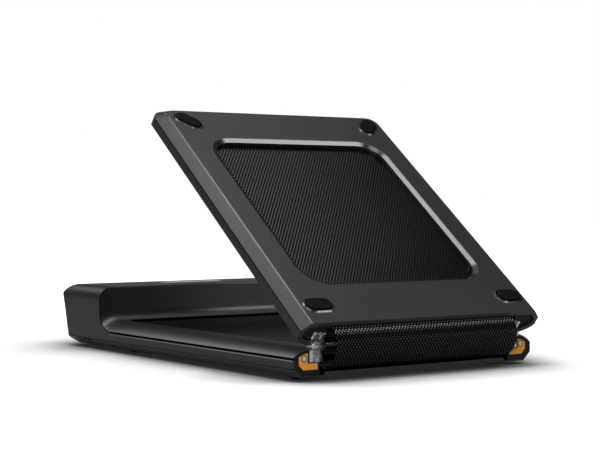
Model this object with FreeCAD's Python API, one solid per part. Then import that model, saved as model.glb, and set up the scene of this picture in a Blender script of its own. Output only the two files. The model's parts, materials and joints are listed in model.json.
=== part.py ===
import FreeCAD, Part
import os
from math import acos, atan2, cos, hypot, pi, radians, sin, sqrt, tan

# Folding walking pad. Both halves are drawn unfolded, in millimetres: X across, Z up from the floor,
# and u away from the fold line. The rear half is then turned about the hinge axis to its rest angle.
V = FreeCAD.Vector

# Overall sizes
width = 530.0
front_length = 842.0
rear_length = 620.0
hood_height = 126.0
rest_fold = 142.2
fold_gap = 0.6
rail_width = 65.0

# Section of both halves, heights above the underside
foot_proud = 6.0
chamfer_width = 17.0
chamfer_height = 16.0
parting_height = 20.0
crest_height = 33.5
body_height = 50.2
underside_round = 2.0
crest_round = 0.8
shoulder_share = 0.98
wall = 2.5
seam = 0.3

# Hood
hood_lean = 16.2
hood_nose_radius = 33.0
hood_tuck_radius = 44.0
hood_side_radius = 30.0
hood_depth = 169.0
hood_wall_lean = 4.0
hood_lip_radius = 5.0
hood_foot_radius = 33.0
bowl_radius = 28.0
front_corner_radius = 16.0
rear_corner_radius = 25.0
flat_corner_radius = 22.0
rear_rim = 8.5

# Belt, rollers and deck
belt_thick = 1.8
belt_sunk = 1.2
belt_side_gap = 3.0
belt_slot = 4.0
slide_gap = 0.2
roller_radius = 16.0
roller_gap = 0.3
roller_wall = 2.0
roller_overhang = 4.0
shaft_radius = 6.0
shaft_fit = 0.05
press_fit = 0.02
bearing_length = 8.0
bearing_inset = 2.0
drive_roller_back = 142.0
tail_depth = 32.0
board_thick = 12.0
board_overlap = 15.0
board_end_gap = 14.0
board_roller_gap = 12.0
cushion_height = 4.0
cushion_radius = 12.0
cushion_share = 0.7
wrap_flat = 4.6

# Steel frame
tube_width = 20.0
frame_back = 50.0
tube_inset = 11.0
tube_low = 10.5
tube_height = 26.5
tube_wall = 2.0
tube_end_gap = 8.0
cross_depth = 30.0
cross_clearance = 3.4
cross_shares = (0.2, 0.75)
guide_radius = 5.0
guide_u = 16.0

# Hinge
hinge_rise = 1.2
barrel_radius = 6.5
pin_radius = 3.0
leaf_inset = 34.0
leaf_length = 27.5
leaf_foot_z = 31.0
knuckle_count = 5
knuckle_gap = 0.3
leaf_depth = 7.5
leaf_thick = 4.5
leaf_arm_length = 48.0
leaf_arm_thick = 5.7
leaf_arm_height = 14.0
leaf_arm_round = 4.0
notch_gap = 0.6

# End caps and their plates
cap_thick = 3.0
front_cap_recess = 1.0
rear_cap_recess = 4.0
cap_reach = 54.3
plate_thick = 0.8
plate_inset = 11.5
plate_length = 40.0
plate_low_z = 17.8
plate_high_z = 48.0
plate_bar_z = 30.5
plate_corner = 9.5
plate_brow = 6.5
plate_dip = 2.0
plate_round = 1.5
screw_inset = 23.3
screw_z = 37.7
screw_hole_radius = 6.0
screw_head_radius = 4.4
screw_head_height = 0.7
screw_shank_radius = 2.5
screw_length = 12.0

# Feet
foot_length = 52.0
foot_width = 28.0
foot_dome = 4.0
pocket_depth = 3.0
pocket_gap = 1.5
bead_height = 2.6
bead_land = 0.8
foot_inset = 53.0
foot_near_u = 43.0
rear_foot_end = 52.0
front_foot_end = 252.0
foot_turn = 45.0

# Window in the rear underside
window_side = 62.0
window_near_u = 93.0
window_end = 101.5
window_radius = 55.0
window_bevel = 9.0
window_dip = 4.7
window_belt_gap = 1.0
window_wall = 2.5
window_edge_round = 1.6

# Motor drive
roller_pulley_radius = 24.0
motor_pulley_radius = 10.0
pulley_flange = 1.5
pulley_width = 18.0
pulley_side_gap = 4.0
drive_belt_thick = 2.2
drive_belt_gap = 0.3
drive_belt_width = 13.0
pulley_seat_gap = 0.5
pulley_bore_gap = 1.0
motor_back = 78.0
motor_drop = 58.0
motor_radius = 34.0
motor_length = 130.0
motor_offset = 26.0
motor_shaft_radius = 5.0
motor_bell_round = 5.0
saddle_half_width = 19.0
saddle_foot_near = 24.7
saddle_foot_far = 9.5
saddle_top_share = 0.45
saddle_rib = 8.0

# Control and display
board_sheet = 1.6
controller_gap = 20.0
controller_half_width = 85.0
controller_back = 118.0
controller_depth = 50.0
standoff_height = 7.5
standoff_radius = 4.0
standoff_inset = 8.0
heatsink_length = 90.0
heatsink_depth = 40.0
heatsink_base = 4.0
heatsink_fin = 22.0
fin_thick = 2.0
fin_count = 8
display_half_width = 70.0
display_depth = 40.0
display_back = 80.0
display_radius = 8.0
display_flange = 2.0
display_flange_thick = 1.4
fit_gap = 0.15

# Power entry on the front face
entry_z = 58.0
inlet_inset = 115.0
inlet_width = 34.0
inlet_height = 26.0
inlet_flange = 2.0
inlet_rim = 2.0
inlet_body_rim = 2.5
inlet_cavity_width = 24.0
inlet_cavity_height = 16.5
inlet_cavity_depth = 17.0
inlet_body_depth = 24.0
inlet_corner = 4.0
contact_length = 8.0
contact_width = 2.0
contact_height = 4.0
contact_pitch = 7.0
contact_rise = 4.0
switch_inset = 69.0
switch_width = 15.0
switch_height = 22.0
switch_wall = 1.6
switch_rim = 2.0
switch_corner = 1.0
switch_depth = 18.0
rocker_gap = 0.4
rocker_radius = 17.0
rocker_proud = 2.6
rocker_pivot_depth = 5.0
rocker_pin_radius = 1.5
rocker_tip = 7.0
rocker_end_gap = 1.4
rocker_keel = 3.0
rocker_dish = 2.0
rocker_skirt = 1.0
rocker_edge = 0.8
rocker_pin_gap = 0.2

# Transport wheels under the front edge
wheel_inset = 60.0
wheel_back = 42.0
wheel_z = 19.0
wheel_radius = 16.0
wheel_width = 14.0
wheel_round = 3.0
well_gap = 2.0
well_wall = 2.0
axle_radius = 3.0

# Belt adjusters and side vents
bolt_inset = 44.0
bolt_radius = 4.0
bolt_head_radius = 6.5
bolt_head_length = 6.0
bolt_hole_gap = 0.8
hex_radius = 3.2
hex_depth = 3.6
tail_wall = 13.5
tail_round = 12.0
tail_edge = 1.0
vent_count = 3
vent_pitch = 22.0
vent_length = 14.0
vent_height = 3.0
vent_back = 126.0
vent_z = 16.5
lip_height = 5.5

# Derived heights and places
half = width / 2
chamfer_angle = atan2(chamfer_height, chamfer_width)
z_under = foot_proud
z_chamfer = z_under + chamfer_height
z_part = z_under + parting_height
z_crest = z_under + crest_height
z_top = z_under + body_height
z_hinge = z_top + hinge_rise
z_floor = z_under + wall
belt_top = z_top - belt_sunk
belt_half = half - rail_width
run_radius = roller_radius + roller_gap
z_roller = belt_top - belt_thick - run_radius
belt_low = z_roller - run_radius - belt_thick
rear_roller_u = rear_length - tail_depth
rear_frame_length = rear_length - chamfer_width
rim_end_u = fold_gap + rear_cap_recess + cap_thick
drive_roller_u = front_length - drive_roller_back
front_frame_length = front_length - frame_back
board_top = belt_top - belt_thick - slide_gap
board_low = board_top - board_thick
cross_top = board_low - cushion_height
cross_low = belt_low + belt_thick + cross_clearance
tube_outer_x = half - tube_inset
tube_inner_x = tube_outer_x - tube_width
tube_z = z_under + tube_low
surround_inner_x = belt_half + belt_side_gap
shoulder_rise = z_top - z_crest
shoulder_radius = shoulder_rise * sqrt(2) / tan(pi / 8) * shoulder_share
lean = radians(hood_lean)
nose_u = front_length - hood_nose_radius
nose_z = hood_height - hood_nose_radius
hood_wall_u = front_length - hood_depth
lip_end_u = hood_wall_u + hood_wall_lean + hood_lip_radius
pulley_outer_x = belt_half + roller_overhang + pulley_side_gap + pulley_width
motor_u = front_length - motor_back
motor_z = hood_height - motor_drop
motor_x = -pulley_outer_x + pulley_width + motor_offset
controller_x = motor_x + motor_length + controller_gap + controller_half_width
controller_near_u = front_length - controller_back
display_u = front_length - display_back
inlet_x = half - inlet_inset
switch_x = half - switch_inset
wheel_x = half - wheel_inset
wheel_u = front_length - wheel_back
vent_first_u = front_length - vent_back
leaf_outer_x = half - leaf_inset
leaf_inner_x = leaf_outer_x - leaf_length
cap_inner_x = half - cap_reach
plate_outer_x = half - plate_inset
plate_inner_x = plate_outer_x - plate_length
screw_x = half - screw_inset
foot_x = half - foot_inset
rear_foot_far_u = rear_length - rear_foot_end
front_foot_far_u = front_length - front_foot_end
window_half_width = half - window_side
window_far_u = rear_length - window_end
bolt_x = half - bolt_inset

# Outer bend of the belt at the fold: an arc a little flatter than one about the hinge axis
wrap_end_radius = z_hinge - belt_low
wrap_mid_radius = wrap_end_radius - wrap_flat
half_fold = radians(rest_fold / 2)
wrap_chord = wrap_end_radius * sin(half_fold)
wrap_sag = wrap_mid_radius - wrap_end_radius * cos(half_fold)
wrap_radius = (wrap_chord ** 2 + wrap_sag ** 2) / (2 * wrap_sag)
wrap_reach = wrap_radius - (wrap_radius - wrap_mid_radius) * sin(half_fold)
hinge_y = -(front_length - wrap_reach) / 2


# Outlines and solids from them

def across(u, z):
    return V(0, u, z)


def along(x, z):
    return V(x, 0, z)


def level(x, u):
    return V(x, u, 0)


def outline(plane, corners):
    """Closed face through corners (a, b, radius), each corner rounded by an arc of its radius."""
    count = len(corners)
    starts, ends, arcs = [], [], []
    for i in range(count):
        a, b, radius = corners[i]
        here = plane(a, b)
        before = plane(*corners[i - 1][:2]) - here
        after = plane(*corners[(i + 1) % count][:2]) - here
        before.normalize()
        after.normalize()
        opening = acos(max(-1.0, min(1.0, before.dot(after))))
        if radius == 0 or opening > pi - 1e-6:
            starts.append(here)
            ends.append(here)
            arcs.append(None)
            continue
        reach = radius / tan(opening / 2)
        middle = before + after
        middle.normalize()
        centre = here + middle * (radius / sin(opening / 2))
        starts.append(here + before * reach)
        ends.append(here + after * reach)
        arcs.append(centre - middle * radius)
    edges = []
    for i in range(count):
        if arcs[i] is not None:
            edges.append(Part.Arc(starts[i], arcs[i], ends[i]).toShape())
        if ends[i].distanceToPoint(starts[(i + 1) % count]) > 1e-6:
            edges.append(Part.LineSegment(ends[i], starts[(i + 1) % count]).toShape())
    return Part.Face(Part.Wire(edges))


def sharp(plane, points):
    return outline(plane, [(a, b, 0) for a, b in points])


def extrude(face, start, end, direction):
    moved = face.copy()
    moved.translate(direction * start)
    return moved.extrude(direction * (end - start))


def slab_x(face, x0, x1):
    return extrude(face, x0, x1, V(1, 0, 0))


def slab_u(face, u0, u1):
    return extrude(face, u0, u1, V(0, 1, 0))


def slab_z(face, z0, z1):
    return extrude(face, z0, z1, V(0, 0, 1))


def block(x0, x1, u0, u1, z0, z1):
    return Part.makeBox(x1 - x0, u1 - u0, z1 - z0, V(x0, u0, z0))


def rod_x(x0, x1, u, z, radius):
    return Part.makeCylinder(radius, x1 - x0, V(x0, u, z), V(1, 0, 0))


def rod_u(x, u0, u1, z, radius):
    return Part.makeCylinder(radius, u1 - u0, V(x, u0, z), V(0, 1, 0))


def rod_z(x, u, z0, z1, radius):
    return Part.makeCylinder(radius, z1 - z0, V(x, u, z0), V(0, 0, 1))


def rounded_rectangle(plane, a0, a1, b0, b1, radius):
    return outline(plane, [(a0, b0, radius), (a1, b0, radius), (a1, b1, radius), (a0, b1, radius)])


def joined(shapes):
    whole = shapes[0]
    if len(shapes) > 1:
        whole = whole.fuse(shapes[1:])
    return whole.removeSplitter()


def mirror_x(shape):
    return shape.mirror(V(0, 0, 0), V(1, 0, 0))


def pair(shape):
    return Part.makeCompound([shape, mirror_x(shape)])


# Shared section of the two halves

def section(inset):
    """Rail-to-rail section, chamfered below and with round shoulders above, drawn in by inset."""
    corners = [(half - chamfer_width, z_under, underside_round), (half, z_chamfer, underside_round),
               (half, z_crest, crest_round), (half - shoulder_rise, z_top, shoulder_radius)]
    mirrored = [(-x, z, radius) for x, z, radius in reversed(corners)]
    face = outline(along, corners + mirrored)
    if inset:
        face = face.makeOffset2D(-inset)
    return face


def plan(length, radius, inset):
    far = length - inset
    side = half - inset
    bend = radius - inset
    return outline(level, [(-side, -length, 0), (side, -length, 0), (side, far, bend), (-side, far, bend)])


def barrel_notch():
    """Room for the hinge in the mouldings at the fold, on both sides."""
    x0 = leaf_inner_x - belt_side_gap - notch_gap
    x1 = leaf_outer_x + notch_gap
    depth = leaf_depth + leaf_thick + notch_gap
    return pair(block(x0, x1, -depth, depth, leaf_foot_z - notch_gap, z_hinge + depth))


def obround(x, u, length, across_width, turn, z0, z1):
    straight = (length - across_width) / 2
    bar = block(-straight, straight, -across_width / 2, across_width / 2, z0, z1)
    ends = [rod_z(side * straight, 0, z0, z1, across_width / 2) for side in (-1, 1)]
    shape = joined([bar] + ends)
    shape.rotate(V(0, 0, 0), V(0, 0, 1), turn)
    shape.translate(V(x, u, 0))
    return shape


def foot_places(far_u):
    """Centre and turn of the four feet; the far pair points at the middle of the half."""
    near = [(side * foot_x, foot_near_u, 0) for side in (-1, 1)]
    far = [(side * foot_x, far_u, side * foot_turn) for side in (-1, 1)]
    return near + far


def with_foot_pockets(cover, far_u):
    """Adds a cup for each foot, with a bead standing round its mouth."""
    for x, u, turn in foot_places(far_u):
        length = foot_length + 2 * pocket_gap
        breadth = foot_width + 2 * pocket_gap
        bead_low = z_under - bead_height
        bead_reach = 2 * (bead_land + bead_height)
        cup = obround(x, u, length + 2 * wall, breadth + 2 * wall, turn,
                      z_under + wall / 2, z_under + pocket_depth + wall)
        bead = obround(x, u, length + bead_reach, breadth + bead_reach, turn, bead_low, z_under + wall / 2)
        crown = [edge for edge in bead.Edges if edge.BoundBox.ZMax < bead_low + 1e-4]
        bead = bead.makeChamfer(bead_height, crown)
        hole = obround(x, u, length, breadth, turn, 0, z_under + pocket_depth)
        cover = cover.fuse([cup, bead]).cut(hole)
    return cover.removeSplitter()


def feet(far_u):
    """Four domed rubber feet seated on the floors of their pockets."""
    solids = []
    for x, u, turn in foot_places(far_u):
        foot = obround(x, u, foot_length, foot_width, turn, 0, z_under + pocket_depth)
        sole = [edge for edge in foot.Edges if edge.BoundBox.ZMax < 1e-4]
        solids.append(foot.makeFillet(foot_dome, sole))
    return Part.makeCompound(solids)


# Pieces that both halves have

def chassis(length):
    """Two side tubes and the cross tubes that carry the deck board, welded into one."""
    far = length - tube_end_gap
    frame = []
    for side in (-1, 1):
        x0, x1 = sorted((side * tube_inner_x, side * tube_outer_x))
        tube = block(x0, x1, tube_end_gap, far, tube_z, tube_z + tube_height)
        bore = block(x0 + tube_wall, x1 - tube_wall, 0, length,
                     tube_z + tube_wall, tube_z + tube_height - tube_wall)
        frame.append(tube.cut(bore))
    for u in cross_places(length):
        bar = block(-tube_inner_x, tube_inner_x, u, u + cross_depth, cross_low, cross_top)
        bore = block(-half, half, u + tube_wall, u + cross_depth - tube_wall,
                     cross_low + tube_wall, cross_top - tube_wall)
        frame.append(bar.cut(bore))
    return joined(frame)


def cross_places(length):
    return [share * length for share in cross_shares]


def deck_board(far_u):
    board_half = belt_half + board_overlap
    return block(-board_half, board_half, board_end_gap, far_u, board_low, board_top)


def deck_cushions(length):
    pads = []
    for u in cross_places(length):
        for x in (-belt_half * cushion_share, 0, belt_half * cushion_share):
            pads.append(rod_z(x, u + cross_depth / 2, cross_top, board_low, cushion_radius))
    return Part.makeCompound(pads)


def guide_bar():
    z = belt_low + belt_thick + roller_gap + guide_radius
    return rod_x(-tube_inner_x, tube_inner_x, guide_u, z, guide_radius)


def belt_run(roller_u):
    """Upper run, turn round the roller and lower run of one half, open at the fold line."""
    def loop(inset):
        low, high = belt_low + inset, belt_top - inset
        strip = block(-belt_half, belt_half, 0, roller_u, low, high)
        turn = rod_x(-belt_half, belt_half, roller_u, z_roller, (high - low) / 2)
        return strip.fuse(turn)
    hollow = loop(belt_thick).copy()
    start = block(-belt_half, belt_half, -belt_thick, 1, belt_low + belt_thick, belt_top - belt_thick)
    return loop(0).cut(hollow.fuse(start)).removeSplitter()


def roller_tube(u):
    length = belt_half + roller_overhang
    outer = rod_x(-length, length, u, z_roller, roller_radius)
    return outer.cut(rod_x(-length, length, u, z_roller, roller_radius - roller_wall))


def roller_shaft(u):
    return rod_x(-tube_inner_x, tube_inner_x, u, z_roller, shaft_radius)


def roller_bearings(u):
    x1 = belt_half + roller_overhang - bearing_inset
    x0 = x1 - bearing_length
    ring = rod_x(x0, x1, u, z_roller, roller_radius - roller_wall - press_fit)
    return pair(ring.cut(rod_x(x0, x1, u, z_roller, shaft_radius + shaft_fit)))


def knuckle_spans(first):
    """Every second knuckle along the barrel, starting at first."""
    pitch = (leaf_outer_x - leaf_inner_x + knuckle_gap) / knuckle_count
    starts = [leaf_inner_x + i * pitch for i in range(first, knuckle_count, 2)]
    return [(x, x + pitch - knuckle_gap) for x in starts]


def hinge_leaf(first, bore_gap):
    """Cast leaf: back plate, one rib and knuckle for each of its spans, and an arm along the side tube."""
    back = leaf_depth + leaf_thick
    pieces = [block(leaf_inner_x, leaf_outer_x, leaf_depth, back, leaf_foot_z, z_top)]
    for x0, x1 in knuckle_spans(first):
        rib = sharp(across, [(back, z_top), (back, leaf_foot_z), (fold_gap * 2, leaf_foot_z),
                             (fold_gap, leaf_foot_z + fold_gap), (fold_gap, z_hinge), (leaf_depth, z_hinge)])
        pieces.append(slab_x(rib, x0, x1))
        pieces.append(rod_x(x0, x1, 0, z_hinge, barrel_radius))
    arm_x = tube_inner_x - seam
    root = leaf_depth + leaf_thick / 3
    arm = outline(across, [(root, leaf_foot_z, 0), (back + leaf_arm_length, leaf_foot_z, leaf_arm_round),
                           (back + leaf_arm_length, leaf_foot_z + leaf_arm_height, leaf_arm_round),
                           (root, leaf_foot_z + leaf_arm_height, 0)])
    pieces.append(slab_x(arm, arm_x - leaf_arm_thick, arm_x))
    leaf = joined(pieces)
    return leaf.cut(rod_x(leaf_inner_x - 1, leaf_outer_x + 1, 0, z_hinge, pin_radius + bore_gap))


def hinge_pins():
    return pair(rod_x(leaf_inner_x, leaf_outer_x, 0, z_hinge, pin_radius))


def end_cap(recess, inset, hole_radius):
    """Closure of one side rail at the fold, inside the outer mouldings and clear of the hinge."""
    start = fold_gap + recess
    cap = slab_u(section(inset + seam), start, start + cap_thick).common(
        block(cap_inner_x, half, 0, start + cap_thick, 0, z_top))
    cap = cap.cut(block(0, leaf_outer_x + notch_gap, -1, leaf_depth * 2, leaf_foot_z - notch_gap, z_hinge))
    if hole_radius:
        cap = cap.cut(rod_u(screw_x, 0, start + cap_thick, screw_z, hole_radius))
    return cap.removeSplitter()


def marker_plate():
    """Thin L-shaped plate on the end cap: full height outside, a low bar under the hinge."""
    notch_x = leaf_outer_x
    face = outline(along, [
        (plate_outer_x, plate_high_z - plate_brow, plate_round),
        (plate_outer_x - plate_corner, plate_high_z - plate_dip, plate_round),
        (notch_x, plate_high_z, plate_round), (notch_x, plate_bar_z, plate_round / 2),
        (plate_inner_x, plate_bar_z, plate_round), (plate_inner_x, plate_low_z, plate_round),
        (plate_outer_x - plate_corner, plate_low_z, plate_round),
        (plate_outer_x, plate_low_z + plate_corner, plate_round)])
    end = fold_gap + front_cap_recess
    plate = slab_u(face, end - plate_thick, end)
    return plate.cut(rod_u(screw_x, 0, end + 1, screw_z, screw_hole_radius))


def end_cap_screws():
    face = fold_gap + front_cap_recess
    head = rod_u(screw_x, face - screw_head_height, face, screw_z, screw_head_radius)
    shank = rod_u(screw_x, face, face + screw_length, screw_z, screw_shank_radius)
    return pair(head.fuse(shank).removeSplitter())


# Front half mouldings

def lean_line_u(z, inset):
    """Where the leaning front face stands at height z, drawn in by inset."""
    radius = hood_nose_radius - inset
    touch_u = nose_u + radius * cos(lean)
    touch_z = nose_z - radius * sin(lean)
    return touch_u + (z - touch_z) * tan(lean)


def hood_side(inset, open_back):
    """Side outline of the front half; with open_back it runs on past the fold and the hood's inner wall."""
    low, high = z_under + inset, hood_height - inset
    front = [(lean_line_u(low, inset), low, hood_tuck_radius - inset),
             (lean_line_u(high, inset), high, hood_nose_radius - inset)]
    if open_back:
        return outline(across, [(-front_length, low, 0)] + front + [(-front_length, high, 0)])
    back = [(hood_wall_u + hood_wall_lean, high, hood_lip_radius),
            (hood_wall_u, z_crest, hood_foot_radius), (fold_gap, z_crest, 0)]
    return outline(across, [(fold_gap, low, 0)] + front + back)


def hood_section(inset):
    low, high, side = z_under + inset, hood_height - inset, half - inset
    flat_x = half - chamfer_width - inset * tan(chamfer_angle / 2)
    edge_z = z_chamfer + inset * tan((pi / 2 - chamfer_angle) / 2)
    corners = [(flat_x, low, underside_round), (side, edge_z, underside_round),
               (side, high, hood_side_radius - inset)]
    return outline(along, corners + [(-x, z, radius) for x, z, radius in reversed(corners)])


def front_corners(inset):
    """Prism that leans with the front face and rounds its two corners."""
    foot = plan(lean_line_u(0, inset) + inset, front_corner_radius, inset)
    return foot.extrude(V(0, hood_height * tan(lean), hood_height))


def front_form(inset, open_back):
    """Solid shape of the front half, drawn in by inset."""
    body = slab_x(hood_side(inset, open_back), -half, half)
    return body.common(slab_u(hood_section(inset), -front_length, front_length)).common(front_corners(inset))


def bowl_air(inset):
    """Open space over the belt, up to the hood's inner wall."""
    high = hood_height * 2
    face = outline(across, [(-front_length, z_top, 0), (hood_wall_u, z_top, 0),
                            (hood_wall_u + hood_wall_lean, hood_height, hood_lip_radius),
                            (front_length, hood_height, 0), (front_length, high, 0),
                            (-front_length, high, 0)])
    if inset:
        face = face.makeOffset2D(inset)
    return face


def bowl_sweep():
    """Material that sweeps the deck and its round shoulders up into the hood's inner wall."""
    reach, low = half + bowl_radius, z_crest - bowl_radius
    shoulder = [(reach, low, 0), (half - shoulder_rise, z_top, shoulder_radius)]
    deck = outline(along, shoulder + [(-x, z, radius) for x, z, radius in reversed(shoulder)])
    foot_u = hood_wall_u - hood_wall_lean * (z_top - low) / (hood_height - z_top)
    hood = outline(across, [(foot_u, low, 0), (front_length, low, 0), (front_length, hood_height, 0),
                            (hood_wall_u + hood_wall_lean, hood_height, 0)])
    sharp = slab_u(deck, 0, front_length).fuse(slab_x(hood, -reach, reach)).removeSplitter()
    corner = [edge for edge in sharp.Edges if edge.BoundBox.XLength > 1 and edge.BoundBox.ZMax < z_top + 1e-3
              and foot_u - 1e-3 < edge.BoundBox.YMin and edge.BoundBox.YMax < hood_wall_u + 1e-3
              and edge.BoundBox.ZMax > low + 1]
    return sharp.makeFillet(bowl_radius, corner).cut(sharp)


def entry_frame(shape):
    """Puts a piece drawn on the plane u = 0, facing +u, onto the leaning front face."""
    shape = shape.copy()
    shape.rotate(V(0, 0, 0), V(1, 0, 0), -hood_lean)
    shape.translate(V(0, lean_line_u(entry_z, 0), entry_z))
    return shape


def entry_block(x, breadth, height, u0, u1, corner):
    face = rounded_rectangle(along, x - breadth / 2, x + breadth / 2, -height / 2, height / 2, corner)
    return slab_u(face, u0, u1)


def hood_shell():
    """Outer moulding: side bands along the deck that rise into the hood's sides, front and top."""
    shell = front_form(0, False).cut(front_form(wall, True))
    shell = shell.cut(block(-half, half, -1, front_length, 0, z_part))
    inside = half - wall
    lip = block(-inside, inside, -1, lip_end_u + seam, 0, hood_height)
    shell = shell.cut(slab_x(bowl_air(wall + seam), -inside, inside).common(lip))
    shell = shell.cut(block(-inside, inside, -1, hood_wall_u, z_part, z_crest + 1))
    shell = shell.cut(slab_z(display_face(0), hood_height - 2 * wall, hood_height + 1))
    inlet = entry_block(inlet_x, inlet_width - 2 * inlet_rim, inlet_height - 2 * inlet_rim, -4 * wall, wall,
                        inlet_corner)
    switch = entry_block(switch_x, switch_width + 2 * fit_gap, switch_height + 2 * fit_gap,
                         -4 * wall, wall, switch_corner)
    return shell.cut(entry_frame(inlet)).cut(entry_frame(switch)).removeSplitter()


def display_face(inset):
    return rounded_rectangle(level, -display_half_width + inset, display_half_width - inset,
                             display_u - display_depth / 2 + inset, display_u + display_depth / 2 - inset,
                             display_radius)


def display_lens():
    """Dark window, flush with the hood top, with a flange that bears on the inside of the hood."""
    seat = hood_height - wall - fit_gap
    top = slab_z(display_face(fit_gap), seat, hood_height)
    return joined([top, slab_z(display_face(-display_flange), seat - display_flange_thick, seat)])


def display_board():
    high = hood_height - wall - 2 * fit_gap - display_flange_thick
    return slab_z(display_face(display_flange), high - board_sheet, high)


def deck_surround():
    """Bowl moulding: a round shoulder on each side of the belt, swept up into the hood's inner wall."""
    inside = half - wall - seam
    rails = slab_u(section(0), fold_gap, hood_wall_u).cut(slab_u(section(wall), -1, front_length))
    rails = rails.common(block(-half, half, 0, front_length, z_crest + seam, z_top))
    rails = rails.cut(slab_x(bowl_air(0), -half, half))
    wall_band = slab_x(bowl_air(wall), -inside, inside).cut(slab_x(bowl_air(0), -inside, inside))
    wall_band = wall_band.common(block(-inside, inside, hood_wall_u - wall, lip_end_u, z_crest, hood_height))
    wall_band = wall_band.common(front_form(0, True))
    sweep = bowl_sweep().common(block(-inside, inside, 0, front_length, z_crest + seam, hood_height))
    bowl = rails.fuse([wall_band, sweep])
    bowl = bowl.cut(block(-surround_inner_x, surround_inner_x, -1, front_length, 0, belt_top + belt_slot))
    sides = block(-half, half, hood_wall_u - hood_foot_radius, front_length, 0, hood_height)
    sides = sides.cut(block(-inside, inside, 0, front_length, 0, hood_height))
    bowl = bowl.cut(sides)
    return bowl.cut(barrel_notch()).removeSplitter()


def front_base_pan():
    """Lower tray with its lip under the belt, standoffs, wheel wells, vents and foot pockets."""
    pan = front_form(0, False).cut(front_form(wall, True))
    pan = pan.common(block(-half, half, 0, front_length, 0, z_part - seam))
    lip = block(-belt_half, belt_half, fold_gap, fold_gap + wall, z_floor, z_floor + lip_height)
    pan = pan.fuse([lip] + controller_standoffs())
    pan = with_foot_pockets(pan, front_foot_far_u)
    for side in (-1, 1):
        reach_x = wheel_width / 2 + well_gap
        reach_u = wheel_radius + well_gap
        top = z_part - seam
        outer = block(side * wheel_x - reach_x - well_wall, side * wheel_x + reach_x + well_wall,
                      wheel_u - reach_u - well_wall, wheel_u + reach_u, z_floor, top)
        outer = outer.common(front_form(0, True))
        inner = block(side * wheel_x - reach_x, side * wheel_x + reach_x,
                      wheel_u - reach_u, front_length, 0, top)
        pan = pan.fuse(outer).cut(inner)
        for i in range(vent_count):
            u = vent_first_u + i * vent_pitch
            slot = block(half - chamfer_width, half, u, u + vent_length, vent_z, vent_z + vent_height)
            pan = pan.cut(slot if side > 0 else mirror_x(slot))
    return pan.cut(wheel_axle_holes()).removeSplitter()


def controller_standoffs():
    reach = controller_half_width - standoff_inset
    places = [(controller_x + side * reach, controller_near_u + back)
              for side in (-1, 1) for back in (standoff_inset, controller_depth - standoff_inset)]
    return [rod_z(x, u, z_under + wall / 2, z_floor + standoff_height, standoff_radius) for x, u in places]


# Front half drive and power

def loop_face(gap):
    """Outline of an open belt round the roller pulley and the motor pulley, gap outside both."""
    big, small = roller_pulley_radius + gap, motor_pulley_radius + gap
    reach = hypot(motor_u - drive_roller_u, motor_z - z_roller)
    heading = atan2(motor_z - z_roller, motor_u - drive_roller_u)
    swing = acos((big - small) / reach)

    def on(u, z, radius, angle):
        return across(u + radius * cos(angle), z + radius * sin(angle))
    b = [on(drive_roller_u, z_roller, big, heading + a) for a in (swing, pi, -swing)]
    s = [on(motor_u, motor_z, small, heading + a) for a in (-swing, 0, swing)]
    edges = [Part.Arc(*b).toShape(), Part.LineSegment(b[2], s[0]).toShape(),
             Part.Arc(*s).toShape(), Part.LineSegment(s[2], b[0]).toShape()]
    return Part.Face(Part.Wire(edges))


def pulley(u, z, radius, bore):
    """Flanged pulley outside the belt's left edge."""
    x0, x1 = -pulley_outer_x, -pulley_outer_x + pulley_width
    seat = (pulley_width - drive_belt_width) / 2 - pulley_seat_gap
    wheel = joined([rod_x(x0, x1, u, z, radius),
                    rod_x(x0, x0 + seat, u, z, radius + pulley_flange),
                    rod_x(x1 - seat, x1, u, z, radius + pulley_flange)])
    return wheel.cut(rod_x(x0, x1, u, z, bore)) if bore else wheel


def drive_roller():
    """Steel tube with its pulley on a neck at the left end."""
    x0, x1 = -pulley_outer_x + pulley_width, -belt_half
    neck = rod_x(x0, x1, drive_roller_u, z_roller, roller_radius)
    neck = neck.cut(rod_x(x0, x1, drive_roller_u, z_roller, roller_radius - roller_wall))
    wheel = pulley(drive_roller_u, z_roller, roller_pulley_radius, shaft_radius + pulley_bore_gap)
    return joined([roller_tube(drive_roller_u), neck, wheel])


def drive_belt():
    middle = -pulley_outer_x + pulley_width / 2
    loop = loop_face(drive_belt_gap + drive_belt_thick).cut(loop_face(drive_belt_gap))
    return slab_x(loop, middle - drive_belt_width / 2, middle + drive_belt_width / 2)


def motor_body():
    can = rod_x(motor_x, motor_x + motor_length, motor_u, motor_z, motor_radius)
    can = can.makeFillet(motor_bell_round, can.Edges[:1] + can.Edges[2:3])
    bore_end = motor_x + motor_length / 4
    return can.cut(rod_x(motor_x, bore_end, motor_u, motor_z, motor_shaft_radius + shaft_fit))


def motor_pulley():
    shaft = rod_x(-pulley_outer_x, motor_x + motor_length / 4, motor_u, motor_z, motor_shaft_radius)
    return joined([pulley(motor_u, motor_z, motor_pulley_radius, 0), shaft])


def motor_bracket():
    """Two saddle plates on a foot plate, under the motor."""
    x0 = motor_x + motor_bell_round
    x1 = motor_x + motor_length - motor_bell_round
    near, far = motor_u - saddle_foot_near, motor_u + saddle_foot_far
    plate = block(x0, x1, near, far, z_floor, z_floor + wall)
    top = motor_z - motor_radius * saddle_top_share
    cheek = sharp(across, [(near, z_floor), (far, z_floor),
                           (motor_u + saddle_half_width, top), (motor_u - saddle_half_width, top)])
    cheeks = [slab_x(cheek, x, x + saddle_rib) for x in (x0, x1 - saddle_rib)]
    can = rod_x(x0 - 1, x1 + 1, motor_u, motor_z, motor_radius + press_fit)
    return joined([plate] + cheeks).cut(can)


def controller_board():
    low = z_floor + standoff_height
    return block(controller_x - controller_half_width, controller_x + controller_half_width,
                 controller_near_u, controller_near_u + controller_depth, low, low + board_sheet)


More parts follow.
